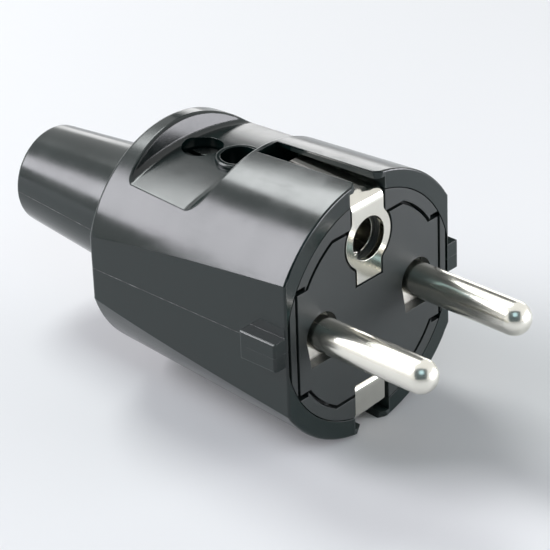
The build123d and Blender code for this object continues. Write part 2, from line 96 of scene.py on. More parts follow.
# How far the two side ribs reach back from the housing's front
RIB_LENGTH = 6.45 * MM

# Plastics and dust
HOUSING_IOR = 1.5
INSERT_IOR = 1.52
DUST_COLOUR = (0.30, 0.30, 0.30, 1.0)

# The flash line in the housing's finish, partly moulding flash and partly painted highlight: its
# wavering and its soft edge
LINE_WAVER = 0.06 * MM
LINE_SOFT = 0.03 * MM

# Radii that the light sees on the edges of nickelled and of zinc-plated pieces
NICKEL_EDGE = 0.1 * MM
ZINC_EDGE = 0.08 * MM
EDGE_SAMPLES = 6

# Heights of the small surface waves in each finish
GLOSS_WAVES = 0.05 * MM
SATIN_WAVES = 0.02 * MM
PIN_WAVES = 0.006 * MM
METAL_WAVES = 0.01 * MM

# Sides of the flash ridge and of the thread's ridge, whose depth is a share of the pitch
FLASH_SIDES = 8
RIDGE_SIDES = 4
RIDGE_SHARE = 0.5

# Steps along the parting line and between the measured heights of a turned piece
PATH_STEP = 0.25 * MM
LEVEL_STEP = 0.01 * MM

# Shares of the largest radius at which a turned piece counts as full and as a head
FULL_SHARE = 0.99
HEAD_SHARE = 0.9

# How deep the raised halves of a screw head sink into its disc
HEAD_SUNK = 0.02 * MM

# Edges that turn more than this stay sharp
SHARP_ANGLE = math.radians(33)

# The nuts, which stay plain
NUTS = ["socket_nut", "housing_nut", "clamp_nut"]

# Ways in the shared frame
UP, SIDE = Vector((0, 0, 1)), Vector((0, 1, 0))
FRONT, REAR = Vector((1, 0, 0)), Vector((-1, 0, 0))

# Each threaded screw with the way its head faces and the way its driver slot runs
SCREWS = {
    "terminal_screw_left": (UP, FRONT),
    "terminal_screw_right": (UP, FRONT),
    "housing_screw": (UP, FRONT),
    "clamp_screw": (UP, FRONT),
    "earth_screw": (REAR, UP),
}

# Lamps: place and size in metres, name of the brightness setting, and colour
LAMPS = {
    "side_lamp": ((-0.41, -0.315, 0.315), (0.28, 0.40), "side_radiance", (0.95, 0.94, 1.0)),
    "top_lamp": ((-0.395, 0.135, 0.51), (0.26, 0.22), "top_radiance", (0.96, 1.0, 1.0)),
    "right_lamp": ((0.165, 0.135, 0.022), (0.20, 0.085), "right_radiance", (0.95, 0.94, 1.0)),
    "back_lamp": ((-0.95, 1.10, 0.16), (1.4, 0.34), "back_radiance", (1.0, 1.0, 1.0)),
    "window": ((0.27, -0.24, 0.43), (0.26, 0.22), "window_radiance", (0.6, 0.88, 1.0)),
}

# An area lamp's energy for a brightness of one on one square metre
LAMP_FACTOR = 4

# Cards that only reflections show: place and size in metres, and their own glow
CARDS = {
    "camera_card": ((0.32, -0.36, 0.40), (1.05, 0.90), (0.07, 0.10, 0.11, 1.0)),
    "back_card": ((-0.50, 0.58, 0.41), (0.26, 0.32), (0.0, 0.0, 0.0, 1.0)),
}
CARD_COLOUR = (0.02, 0.02, 0.02, 1.0)

# Half the floor's width in metres, and its roughness
FLOOR_HALF = 3.0
FLOOR_ROUGHNESS = 0.9

# Nearest and farthest distance that the camera sees, in metres
CLIP_START, CLIP_END = 0.01, 20.0

# Background
WHITE = (1.0, 1.0, 1.0, 1.0)

# Corners and face of a flat square
SQUARE = [(-1, -1), (1, -1), (1, 1), (-1, 1)]
SQUARE_FACE = (0, 1, 2, 3)


# Settings


class HousingSettings(bpy.types.PropertyGroup):
    """Colours and small sizes of the black mouldings."""

    gloss_colour: FloatVectorProperty(
        name="Housing colour",
        description="Colour of the glossy housing",
        subtype="COLOR",
        size=3,
        min=0,
        max=1,
        default=(0.003, 0.010, 0.009),
    )
    satin_colour: FloatVectorProperty(
        name="Insert colour",
        description="Colour of the carrier and the face plate",
        subtype="COLOR",
        size=3,
        min=0,
        max=1,
        default=(0.014, 0.019, 0.018),
    )
    # The flash's pale colour is partly painted highlight, standing in for the glint of the thin
    # ridge
    flash_and_glint_colour: FloatVectorProperty(
        name="Flash colour",
        description="Colour of the thin moulding flash along the housing's middle",
        subtype="COLOR",
        size=3,
        min=0,
        max=1,
        default=(0.10, 0.10, 0.10),
    )
    # Width of the pale band painted along the parting line, partly painted highlight
    flash_width: FloatProperty(
        name="Flash width",
        description="Width of the moulding flash",
        unit="LENGTH",
        default=0.10 * MM,
    )
    flash_height: FloatProperty(
        name="Flash height",
        description="How far the moulding flash stands out of the surface",
        unit="LENGTH",
        default=0.05 * MM,
    )
    flash_step: FloatProperty(
        name="Flash step",
        description="Distance between two rings of the moulding flash",
        unit="LENGTH",
        default=0.2 * MM,
    )
    edge_round: FloatProperty(
        name="Edge rounding",
        description="Radius that the light sees on sharp moulded edges",
        unit="LENGTH",
        default=0.12 * MM,
    )


class MetalSettings(bpy.types.PropertyGroup):
    """Colours of the metal pieces and the fineness of pins, threads and screw heads."""

    nickel_colour: FloatVectorProperty(
        name="Nickel colour",
        description="Colour of the nickel plating",
        subtype="COLOR",
        size=3,
        min=0,
        max=1,
        default=(0.80, 0.785, 0.71),
    )
    # Painted shade: the steel is set far darker than zinc plating, standing in for the shade on
    # the screw heads deep in their holes
    steel_colour_with_painted_shade: FloatVectorProperty(
        name="Steel colour",
        description="Colour of the zinc-plated screws",
        subtype="COLOR",
        size=3,
        min=0,
        max=1,
        default=(0.20, 0.22, 0.21),
    )
    pin_sides: IntProperty(
        name="Pin sides",
        description="Number of sides round a pin",
        default=128,
        min=16,
    )
    pin_rings: IntProperty(
        name="Pin rings",
        description="Number of rings on a pin's round end",
        default=32,
        min=8,
    )
    thread_pitch: FloatProperty(
        name="Thread pitch",
        description="Distance between two turns of a screw's thread",
        unit="LENGTH",
        default=0.5 * MM,
    )
    thread_sides: IntProperty(
        name="Thread sides",
        description="Number of steps in one turn of a thread and round a screw head",
        default=48,
        min=12,
    )
    slot_width: FloatProperty(
        name="Slot width",
        description="Width of the driver slots",
        unit="LENGTH",
        default=0.8 * MM,
    )
    head_chamfer: FloatProperty(
        name="Head chamfer",
        description="Chamfer on the top edges of the screw heads",
        unit="LENGTH",
        default=0.16 * MM,
    )


class StageSettings(bpy.types.PropertyGroup):
    """Brightness of the lamps and the floor's colour."""

    floor_colour: FloatVectorProperty(
        name="Floor colour",
        description="Colour of the plain floor",
        subtype="COLOR",
        size=3,
        min=0,
        max=1,
        default=(0.82, 0.82, 0.82),
    )
    surround: FloatProperty(
        name="Surround",
        description="Strength of the plain light from all round",
        default=0.16,
        min=0,
    )
    side_radiance: FloatProperty(
        name="Side lamp",
        description="Brightness of the soft lamp at the left",
        default=7.3,
        min=0,
    )
    top_radiance: FloatProperty(
        name="Top lamp",
        description="Brightness of the soft lamp above",
        default=8.0,
        min=0,
    )
    right_radiance: FloatProperty(
        name="Right lamp",
        description="Brightness of the soft lamp at the far right",
        default=7.0,
        min=0,
    )
    back_radiance: FloatProperty(
        name="Back lamp",
        description="Brightness of the large dim lamp behind the plug",
        default=1.8,
        min=0,
    )
    window_radiance: FloatProperty(
        name="Window",
        description="Brightness of the bluish window that shows on the pins' tips",
        default=0.9,
        min=0,
    )


# Shader nodes


class Num:
    """A shader value that adds Math nodes when it is calculated with."""

    def __init__(self, recipe, socket):
        self.recipe = recipe
        self.socket = socket

    def _math(self, operation, *values, clamp=False):
        settings = {"operation": operation, "use_clamp": clamp}
        return self.recipe.node("ShaderNodeMath", settings, *values)

    def __add__(self, other):
        return self._math("ADD", self, other)

    def __radd__(self, other):
        return self._math("ADD", other, self)

    def __sub__(self, other):
        return self._math("SUBTRACT", self, other)

    def __rsub__(self, other):
        return self._math("SUBTRACT", other, self)

    def __mul__(self, other):
        return self._math("MULTIPLY", self, other)

    def __rmul__(self, other):
        return self._math("MULTIPLY", other, self)

    def __truediv__(self, other):
        return self._math("DIVIDE", self, other)

    def __rtruediv__(self, other):
        return self._math("DIVIDE", other, self)

    def __abs__(self):
        return self._math("ABSOLUTE", self)

    def above(self, edge, soft):
        """0 below edge, 1 above it, with a soft step between."""
        return self._math("DIVIDE", self - edge, soft, clamp=True)

    def below(self, edge, soft):
        """1 below edge, 0 above it, with a soft step between."""
        return self._math("DIVIDE", edge - self, soft, clamp=True)

    def root(self):
        """The square root."""
        return self._math("SQRT", self)

    def upto(self, other):
        """The smaller of two values."""
        return self._math("MINIMUM", self, other)


class Recipe:
    """Builds one node tree."""

    def __init__(self, tree):
        self.tree = tree
        self.tree.nodes.clear()

    def node(self, kind, settings=None, *values, out=0, **named):
        """Adds a node, sets it, feeds its sockets in order or by name, and returns one output."""
        made = self.tree.nodes.new(kind)
        for key, value in (settings or {}).items():
            setattr(made, key, value)
        for index, value in enumerate(values):
            self.feed(made.inputs[index], value)
        for key, value in named.items():
            self.feed(made.inputs[key.replace("_", " ")], value)
        return Num(self, made.outputs[out]) if made.outputs else None

    def feed(self, socket, value):
        """Links a value to a socket, or sets the socket."""
        if isinstance(value, Num):
            self.tree.links.new(value.socket, socket)
        elif value is not None:
            socket.default_value = value

    def place(self):
        """Object coordinates, in metres."""
        return self.node("ShaderNodeTexCoord", out=3)

    def parts(self, vector):
        """The three parts of a vector."""
        split = self.node("ShaderNodeSeparateXYZ", None, vector)
        return [Num(self, output) for output in split.socket.node.outputs]

    def stretched(self, vector, scale):
        """A vector scaled by three numbers."""
        return self.node("ShaderNodeVectorMath", {"operation": "MULTIPLY"}, vector, scale)

    def noise(self, vector, waves, detail=2.0, rough=0.5):
        """Noise from 0 to 1 with a number of waves in a metre."""
        return self.node(
            "ShaderNodeTexNoise",
            {"noise_dimensions": "3D"},
            Vector=vector,
            Scale=waves,
            Detail=detail,
            Roughness=rough,
        )

    def drawn(self, vector, waves, detail=2.0):
        """Noise from 0 to 1 with its own number of waves in a metre along X, Y and Z."""
        return self.noise(self.stretched(vector, waves), waves=1.0, detail=detail)

    def blend(self, factor, first, second):
        """Mixes two colours, whose sockets come after the five for numbers and vectors."""
        skipped = [None] * 5
        return self.node(
            "ShaderNodeMix", {"data_type": "RGBA"}, factor, *skipped, first, second, out=2
        )

    def bump(self, height, distance, strength=1.0, normal=None):
        """Normal that follows a height."""
        return self.node(
            "ShaderNodeBump",
            None,
            Strength=strength,
            Distance=distance,
            Height=height,
            Normal=normal,
        )

    def rounded(self, radius):
        """Normal with small roundings on sharp edges."""
        return self.node("ShaderNodeBevel", {"samples": EDGE_SAMPLES}, Radius=radius)

    def surface(self, **sockets):
        """Ends the recipe in a Principled shader."""
        shader = self.node("ShaderNodeBsdfPrincipled", None, **sockets)
        self.node("ShaderNodeOutputMaterial", None, shader)


def rgba(colour, factor=1.0):
    """A colour times a factor, with its alpha."""
    return (*[min(1.0, channel * factor) for channel in colour], 1.0)


def between(recipe, share, colour, low, high):
    """Blends from a colour times one factor to the same colour times another."""
    return recipe.blend(share, rgba(colour, low), rgba(colour, high))


def new_material(name):
    """An empty material and its recipe."""
    material = bpy.data.materials.new(name)
    material.use_nodes = True
    return material, Recipe(material.node_tree)


def specks(recipe, place, waves, share, size):
    """Sparse round specks, such as dust: 1 on a speck and 0 elsewhere."""
    cell = recipe.node(
        "ShaderNodeTexVoronoi", {"feature": "F1"}, Vector=place, Scale=waves, Randomness=1.0
    )
    middle = Num(recipe, cell.socket.node.outputs["Position"])
    pick = recipe.node("ShaderNodeTexWhiteNoise", {"noise_dimensions": "3D"}, middle)
    return cell.below(size, soft=size * 0.4) * pick.above(1 - share, soft=0.001)


def gloss_plastic(settings):
    """Glossy black moulding with flow ripples, scratches, dust, flash line and dull slots; the
    flash line's paleness is partly painted highlight.
    """
    material, recipe = new_material("gloss_black")
    place = recipe.place()
    x, y, z = recipe.parts(place)
    ripple = recipe.noise(place, waves=160.0, detail=1.0)
    grain = recipe.noise(place, waves=2600.0, detail=2.0)
    scratch = recipe.drawn(place, waves=(300.0, 1800.0, 1800.0), detail=2.0)
    cloud = recipe.noise(place, waves=90.0, detail=5.0, rough=0.65)
    waver = (recipe.drawn(place, waves=(700.0, 1.0, 1.0)) - 0.5) * LINE_WAVER
    # Painted highlight: a pale band along the parting line, partly the flash's own colour and
    # partly standing in for the glint of the thin flash ridge
    flash = abs(z + waver).below(settings.flash_width / 2, soft=LINE_SOFT)
    broken = recipe.drawn(place, waves=(420.0, 420.0, 1.0), detail=2.0)
    flash = flash * broken.above(0.30, soft=0.25) * 0.5
    dust = specks(recipe, place, waves=420.0, share=0.012, size=0.03)
    tone = between(recipe, cloud, settings.gloss_colour, low=0.85, high=1.2)
    tone = recipe.blend(dust * 0.35, tone, DUST_COLOUR)
    tone = recipe.blend(flash, tone, rgba(settings.flash_and_glint_colour))
    depth = x * BODY_TAPER + BODY_RADIUS - (y * y + z * z).root()
    slot = depth.above(SLOT_DEPTH, soft=SLOT_SOFT) * abs(y).below(SLOT_HALF, soft=SLOT_SOFT)
    slot = slot * x.above(SLOT_REAR, soft=3 * SLOT_SOFT)
    rough = 0.02 + cloud * 0.34 + scratch.above(0.55, soft=0.3) * 0.04
    rough = rough + flash * 0.2 + dust * 0.3 + slot * 0.4
    height = ripple * 0.9 + cloud * 0.25 + grain * 0.02 + flash * 0.6
    edges = recipe.rounded(settings.edge_round)
    normal = recipe.bump(height, GLOSS_WAVES, strength=0.35, normal=edges)
    recipe.surface(Base_Color=tone, Roughness=rough, Normal=normal, IOR=HOUSING_IOR)
    return material


def satin_plastic(settings):
    """Satin black moulding of the carrier, the face plate and the clamp bar."""
    material, recipe = new_material("satin_black")
    place = recipe.place()
    grain = recipe.noise(place, waves=5200.0, detail=2.0)
    cloud = recipe.noise(place, waves=110.0, detail=3.0)
    dust = specks(recipe, place, waves=520.0, share=0.05, size=0.05)
    tone = between(recipe, cloud, settings.satin_colour, low=0.8, high=1.25)
    tone = recipe.blend(dust * 0.3, tone, DUST_COLOUR)
    rough = 0.36 + cloud * 0.12 + grain * 0.08
    edges = recipe.rounded(settings.edge_round)
    normal = recipe.bump(grain, SATIN_WAVES, strength=0.3, normal=edges)
    recipe.surface(Base_Color=tone, Roughness=rough, Normal=normal, IOR=INSERT_IOR)
    return material


def bright_nickel(settings):
    """Polished nickel plating, with fine marks drawn along the pins."""
    material, recipe = new_material("bright_nickel")
    place = recipe.place()
    drawn = recipe.drawn(place, waves=(160.0, 3600.0, 3600.0), detail=3.0)
    rubbed = recipe.drawn(place, waves=(420.0, 900.0, 900.0), detail=2.0)
    cloud = recipe.noise(place, waves=210.0, detail=3.0)
    tone = between(recipe, cloud, settings.nickel_colour, low=0.93, high=1.06)
    rough = 0.17 + rubbed * 0.10 + drawn.above(0.5, soft=0.4) * 0.08
    normal = recipe.bump(drawn, PIN_WAVES, strength=0.3)
    recipe.surface(Base_Color=tone, Metallic=1.0, Roughness=rough, Normal=normal)
    return material


def sheet_nickel(settings):
    """Nickelled sheet with a rolled grain, a little darker than the pins."""
    material, recipe = new_material("sheet_nickel")
    place = recipe.place()
    rolled = recipe.drawn(place, waves=(2600.0, 3600.0, 240.0), detail=3.0)
    cloud = recipe.noise(place, waves=330.0, detail=3.0)
    tone = between(recipe, cloud, settings.nickel_colour, low=0.8, high=0.98)
    rough = 0.07 + cloud * 0.07 + rolled * 0.05
    normal = recipe.bump(rolled, METAL_WAVES, strength=0.3, normal=recipe.rounded(NICKEL_EDGE))
    recipe.surface(Base_Color=tone, Metallic=1.0, Roughness=rough, Normal=normal)
    return material


def cast_nickel(settings):
    """Dull nickel plating of the terminal blocks, lifted brighter as painted light."""
    material, recipe = new_material("cast_nickel")
    place = recipe.place()
    grain = recipe.noise(place, waves=2400.0, detail=3.0)
    cloud = recipe.noise(place, waves=420.0, detail=3.0)
    # Painted light: the nickel colour is lifted up to 1.2 times, standing in for the front light
    # that catches the terminals
    tone = between(recipe, cloud, settings.nickel_colour, low=1.0, high=1.2)
    rough = 0.34 + cloud * 0.16
    normal = recipe.bump(grain, METAL_WAVES, strength=0.3, normal=recipe.rounded(NICKEL_EDGE))
    recipe.surface(Base_Color=tone, Metallic=1.0, Roughness=rough, Normal=normal)
    return material


def zinc_steel(settings):
    """Zinc-plated steel of the screws and nuts, darkened as painted shade for their deep holes."""
    material, recipe = new_material("zinc_steel")
    place = recipe.place()
    cloud = recipe.noise(place, waves=900.0, detail=4.0)
    brushed = recipe.drawn(place, waves=(3000.0, 3000.0, 500.0), detail=2.0)
    # Painted shade: this tone is the darkened steel colour, standing in for the shade in the screw
    # holes
    tone = between(recipe, cloud, settings.steel_colour_with_painted_shade, low=0.85, high=1.1)
    rough = 0.14 + cloud * 0.12
    normal = recipe.bump(brushed, METAL_WAVES, strength=0.25, normal=recipe.rounded(ZINC_EDGE))
    recipe.surface(Base_Color=tone, Metallic=1.0, Roughness=rough, Normal=normal)
    return material


def worn_flash(settings):
    """Uneven, paler plastic of the moulding flash, its paleness partly painted highlight."""
    material, recipe = new_material("worn_flash")
    place = recipe.place()
    cloud = recipe.noise(place, waves=900.0, detail=2.0)
    patchy = cloud.above(0.4, soft=0.3)
    # Painted highlight in part: the flash colour ranges from 0.4 to 2 times, lighter on the
    # patches
    tone = between(recipe, patchy, settings.flash_and_glint_colour, low=0.4, high=2.0)
    rough = 0.45 + cloud * 0.2
    recipe.surface(Base_Color=tone, Roughness=rough, IOR=HOUSING_IOR)
    return material


# Geometry nodes


class Shape(Recipe):
    """Builds one Geometry Nodes tree with named inputs and makes plain pieces with it."""

    def __init__(self, name, geometry=False, **kinds):
        super().__init__(bpy.data.node_groups.new(name, "GeometryNodeTree"))
        face = self.tree.interface
        if geometry:
            face.new_socket("Geometry", in_out="INPUT", socket_type="NodeSocketGeometry")
        self.sockets = {
            label: face.new_socket(label, in_out="INPUT", socket_type="NodeSocket" + kind)
            for label, kind in kinds.items()
        }
        face.new_socket("Geometry", in_out="OUTPUT", socket_type="NodeSocketGeometry")
        self.start = self.node("NodeGroupInput").socket.node

    def given(self, label):
        """The value of a named input."""
        return Num(self, self.start.outputs[label])

    def tube(self, path, sides, radius, scale=1.0):
        """Closed tube along a path."""
        ring = self.node(
            "GeometryNodeCurvePrimitiveCircle", {"mode": "RADIUS"}, Resolution=sides, Radius=radius
        )
        return self.node(
            "GeometryNodeCurveToMesh",
            None,
            Curve=path,
            Profile_Curve=ring,
            Scale=scale,
            Fill_Caps=True,
        )

    def together(self, first, second):
        """Joins two pieces of geometry."""
        joined = self.node("GeometryNodeJoinGeometry", None, second)
        self.feed(joined.socket.node.inputs[0], first)
        return joined

    def close(self, geometry):
        """Ends the tree with plain geometry that carries its material."""
        real = self.node("GeometryNodeRealizeInstances", None, geometry)
        material = self.given("Material")
        dressed = self.node("GeometryNodeSetMaterial", None, Geometry=real, Material=material)
        self.node("NodeGroupOutput", None, dressed)

    def make(self, context, name, mesh, **values):
        """A new object whose plain mesh the tree makes from a mesh and the input values."""
        piece = bpy.data.objects.new(name, mesh)
        context.scene.collection.objects.link(piece)
        modifier = piece.modifiers.new(name, "NODES")
        modifier.node_group = self.tree
        for label, value in values.items():
            modifier[self.sockets[label].identifier] = value
        result = piece.evaluated_get(context.evaluated_depsgraph_get())
        piece.data = bpy.data.meshes.new_from_object(result)
        piece.modifiers.clear()
        return piece


def flash_shape():
    """Thin uneven ridge along a path."""
    shape = Shape("mould_flash", True, Height="Float", Step="Float", Material="Material")
    path = shape.node("GeometryNodeMeshToCurve", None, shape.given("Geometry"))
    path = shape.node(
        "GeometryNodeResampleCurve", {"mode": "LENGTH"}, Curve=path, Length=shape.given("Step")
    )
    place = shape.node("GeometryNodeInputPosition")
    uneven = shape.noise(place, waves=380.0, detail=3.0)
    scale = 0.35 + uneven.above(0.34, soft=0.3) * 0.65
    shape.close(shape.tube(path, FLASH_SIDES, shape.given("Height"), scale))
    return shape


def thread_shape():
    """Screw thread: a core and a ridge that winds up round it."""
    kinds = {"Radius": "Float", "Length": "Float", "Pitch": "Float", "Sides": "Int"}
    shape = Shape("screw_thread", **kinds, Material="Material")
    sides, pitch, length = shape.given("Sides"), shape.given("Pitch"), shape.given("Length")
    depth = pitch * RIDGE_SHARE
    root = shape.given("Radius") - depth
    wound = length - pitch
    helix = shape.node(
        "GeometryNodeCurveSpiral",
        None,
        Resolution=sides,
        Rotations=wound / pitch,
        Start_Radius=root,
        End_Radius=root,
        Height=wound,
        Reverse=False,
    )
    helix = shape.node("GeometryNodeSetCurveNormal", {"mode": "Z_UP"}, helix)
    lift = shape.node("ShaderNodeCombineXYZ", None, 0.0, 0.0, depth)
    helix = shape.node("GeometryNodeSetPosition", None, Geometry=helix, Offset=lift)
    top = shape.node("ShaderNodeCombineXYZ", None, 0.0, 0.0, length)
    line = shape.node("GeometryNodeCurvePrimitiveLine", None, Start=(0.0, 0.0, 0.0), End=top)
    ridge = shape.tube(helix, RIDGE_SIDES, depth)
    shape.close(shape.together(shape.tube(line, sides, root), ridge))
    return shape


# Pieces


def side_path(side, front):
    """Points on the housing's surface along its parting line, from the sleeve's end forwards."""
    low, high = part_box("housing")
    mesh = NODES["housing"].data
    corners = [vertex.co for vertex in mesh.vertices]
    tree = BVHTree.FromPolygons(corners, [face.vertices for face in mesh.polygons])
    points = []
    for index in range(1, int((front - low[0]) / PATH_STEP)):
        start = Vector((low[0] + index * PATH_STEP, side * 2 * high[1], 0.0))
        hit, _, _, _ = tree.ray_cast(start, SIDE * -side)
        if hit is None:
            raise RuntimeError("the parting line leaves the housing")
        points.append(hit)
    return points


def line_mesh(name, points):
    """Mesh of one open line."""
    mesh = bpy.data.meshes.new(name)
    mesh.from_pydata(points, [(index, index + 1) for index in range(len(points) - 1)], [])
    return mesh


def turned_levels(name, up):
    """Centre of a screw or pin and its (height, radius) steps, from one end to the other."""
    low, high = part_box(name)
    centre = (Vector(low) + Vector(high)) / 2
    widest = {}
    for vertex in NODES[name].data.vertices:
        offset = vertex.co - centre
        height = offset.dot(up)
        radius = (offset - up * height).length
        key = round(height / LEVEL_STEP)
        widest[key] = max(widest.get(key, 0.0), radius)
    return centre, [(key * LEVEL_STEP, widest[key]) for key in sorted(widest)]


def stack(outlines):
    """Closed skin through outlines of equally many points: its points and faces."""
    count = len(outlines[0])
    points = [point for outline in outlines for point in outline]
    faces = []
    for level in range(len(outlines) - 1):
        for index in range(count):
            after = (index + 1) % count
            low, high = level * count, (level + 1) * count
            faces.append((low + index, low + after, high + after, high + index))
    faces.append(tuple(reversed(range(count))))
    faces.append(tuple(range(len(points) - count, len(points))))
    return points, faces


def circle(radius, height, sides, first=0.0, last=2 * math.pi, ends=0):
    """Points on a circle at one height, or on an arc that has its last point too with ends=1."""
    span = last - first
    return [
        Vector((radius * math.cos(a), radius * math.sin(a), height))
        for a in (first + span * index / (sides - ends) for index in range(sides))
    ]


def turned_pin(name, sides, rings):
    """Centre and skin of a plug pin with a smooth half ball on its end, drawn upwards."""
    centre, levels = turned_levels(name, FRONT)
    radius = max(r for _, r in levels)
    rear, shank = levels[0]
    shoulder = min(height for height, r in levels if r > FULL_SHARE * radius)
    ball = levels[-1][0] - radius
    outlines = [circle(shank, rear, sides), circle(shank, shoulder, sides)]
    outlines += [circle(radius, shoulder, sides), circle(radius, ball, sides)]
    for ring in range(1, rings):
        angle = math.pi / 2 * ring / rings
        outlines.append(circle(radius * math.cos(angle), ball + radius * math.sin(angle), sides))
    return centre, stack(outlines)


def set_up(mesh, centre, up, aside):
    """Moves a mesh drawn upwards at the origin to a centre, with its top and X facing two ways."""
    turn = Matrix((aside, up.cross(aside), up)).transposed().to_4x4()
    mesh.transform(Matrix.Translation(centre) @ turn)


def smoothed(mesh):
    """Shades a mesh smooth, but for its sharp edges."""
    mesh.shade_smooth()
    mesh.set_sharp_from_angle(angle=SHARP_ANGLE)


def head_skins(levels, slot_half, sides, chamfer):
    """Slotted screw head: a disc with two raised halves beside the slot."""
    radius = max(r for _, r in levels)
    heights = [height for height, r in levels if r > HEAD_SHARE * radius]
    base, floor, top = heights[0], heights[1], heights[-1]
    disc = [
        circle(radius - chamfer, base, sides),
        circle(radius, base + chamfer, sides),
        circle(radius, floor, sides),
    ]
    skins = [stack(disc)]
    reach = math.asin(slot_half / radius)
    for turn in (0.0, math.pi):
        limits = (turn + reach, turn + math.pi - reach)
        upper = circle(radius, top - chamfer, sides, *limits, ends=1)
        middle = sum(upper, Vector()) / len(upper)
        shrink = 1 - chamfer / radius
        lid = [middle + (point - middle) * shrink + UP * chamfer for point in upper]
        foot = circle(radius, floor - HEAD_SUNK, sides, *limits, ends=1)
        skins.append(stack([foot, upper, lid]))
    return skins


def give(names, material):
    """Puts one material on every slot of the named nodes."""
    for name in names:
        mesh = NODES[name].data
        if not mesh.materials:
            mesh.materials.append(material)
        for index in range(len(mesh.materials)):
            mesh.materials[index] = material


# Operators


class PLUG_OT_mouldings(bpy.types.Operator):
    """Gives the housing, the carrier, the face plate and the clamp bar their black plastics."""

    bl_idname = "plug.mouldings"
    bl_label = "Finish the mouldings"

    def execute(self, context):
        settings = context.scene.plug_housing
        give(["housing"], gloss_plastic(settings))
        give(["contact_carrier", "face_plate", "cord_clamp"], satin_plastic(settings))
        return {"FINISHED"}


class PLUG_OT_flash(bpy.types.Operator):
    """Adds the thin moulding flash along both sides of the housing."""

    bl_idname = "plug.flash"
    bl_label = "Add the moulding flash"

    def execute(self, context):
        settings = context.scene.plug_housing
        shape = flash_shape()
        material = worn_flash(settings)
        rib_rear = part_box("housing")[1][0] - RIB_LENGTH
        for name, side in (("flash_left", -1), ("flash_right", 1)):
            mesh = line_mesh(name, side_path(side, rib_rear))
            piece = shape.make(
                context,
                name,
                mesh,
                Height=settings.flash_height,
                Step=settings.flash_step,
                Material=material,
            )
            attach(piece, BODY)
        return {"FINISHED"}


class PLUG_OT_contacts(bpy.types.Operator):
    """Gives the pins, terminals and earth parts their nickel."""

    bl_idname = "plug.contacts"
    bl_label = "Finish the contacts"

    def execute(self, context):
        settings = context.scene.plug_metal
        give(["pin_left", "pin_right"], bright_nickel(settings))
        give(["terminal_left", "terminal_right"], cast_nickel(settings))
        earth_parts = ["earth_plate", "earth_bracket", "earth_washer", "earth_socket"]
        give(earth_parts, sheet_nickel(settings))
        return {"FINISHED"}


class PLUG_OT_pins(bpy.types.Operator):
    """Replaces the two pins with finely turned ones."""

    bl_idname = "plug.pins"
    bl_label = "Add the fine pins"

    def execute(self, context):
        settings = context.scene.plug_metal
        for name in ("pin_left", "pin_right"):
            centre, (points, faces) = turned_pin(name, settings.pin_sides, settings.pin_rings)
            mesh = bpy.data.meshes.new(name + "_fine")
            mesh.from_pydata(points, [], faces)
            set_up(mesh, centre, FRONT, SIDE)
            smoothed(mesh)
            mesh.materials.append(NODES[name].data.materials[0])
            piece = bpy.data.objects.new(name + "_fine", mesh)
            context.scene.collection.objects.link(piece)
            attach(piece, BODY)
            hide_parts(name)
        return {"FINISHED"}


def add_screw(context, name, shape):
    """Replaces a plain screw with one that has a thread and a chamfered, slotted head."""
    settings = context.scene.plug_metal
    material = NODES[name].data.materials[0]
    up, slot_way = SCREWS[name]
    centre, levels = turned_levels(name, up)
    head_radius = max(radius for _, radius in levels)
    shank = max(radius for _, radius in levels if radius < HEAD_SHARE * head_radius)
    start = min(height for height, radius in levels if radius > FULL_SHARE * shank)
    base = min(height for height, radius in levels if radius > HEAD_SHARE * head_radius)
    tip, tip_radius = levels[0]
    piece = shape.make(
        context,
        name + "_detailed",
        bpy.data.meshes.new(name),
        Radius=shank,
        Length=base - start,
        Pitch=settings.thread_pitch,
        Sides=settings.thread_sides,
        Material=material,
    )
    mesh = piece.data
    mesh.transform(Matrix.Translation((0, 0, start)))
    points = [vertex.co.copy() for vertex in mesh.vertices]
    faces = [tuple(face.vertices) for face in mesh.polygons]
    sides, chamfer = settings.thread_sides, settings.head_chamfer
    skins = head_skins(levels, settings.slot_width / 2, sides, chamfer)
    if tip < start:
        nose = [
            circle(tip_radius - chamfer, tip, sides),
            circle(tip_radius, tip + chamfer, sides),
            circle(tip_radius, start + chamfer, sides),
        ]
        skins.append(stack(nose))
    for skin_points, skin_faces in skins:
        count = len(points)
        points += skin_points
        faces += [tuple(count + index for index in face) for face in skin_faces]
    mesh.clear_geometry()
    mesh.from_pydata(points, [], faces)
    mesh.materials.clear()
    mesh.materials.append(material)
    set_up(mesh, centre, up, slot_way)
    smoothed(mesh)
    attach(piece, BODY)
    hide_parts(name)


class PLUG_OT_screws(bpy.types.Operator):
    """Replaces the plain screws with threaded, slotted ones."""

    bl_idname = "plug.screws"
    bl_label = "Add the detailed screws"

    def execute(self, context):
        shape = thread_shape()
        for name in SCREWS:
            add_screw(context, name, shape)
        return {"FINISHED"}


class PLUG_OT_fasteners(bpy.types.Operator):
    """Gives the screws and nuts their zinc plating."""

    bl_idname = "plug.fasteners"
    bl_label = "Finish the fasteners"

    def execute(self, context):
        give([*SCREWS, *NUTS], zinc_steel(context.scene.plug_metal))
        return {"FINISHED"}


# Stage


def camera_axes():
    """The camera's right, up and backward directions."""
    sin_a, cos_a = math.sin(CAMERA_AZIMUTH), math.cos(CAMERA_AZIMUTH)
    sin_e, cos_e = math.sin(CAMERA_ELEVATION), math.cos(CAMERA_ELEVATION)
    back = Vector((sin_a * cos_e, -cos_a * cos_e, sin_e))
    level = UP.cross(back).normalized()
    upright = back.cross(level)
    right = level * math.cos(CAMERA_ROLL) + upright * math.sin(CAMERA_ROLL)
    up = upright * math.cos(CAMERA_ROLL) - level * math.sin(CAMERA_ROLL)
    return right, up, back


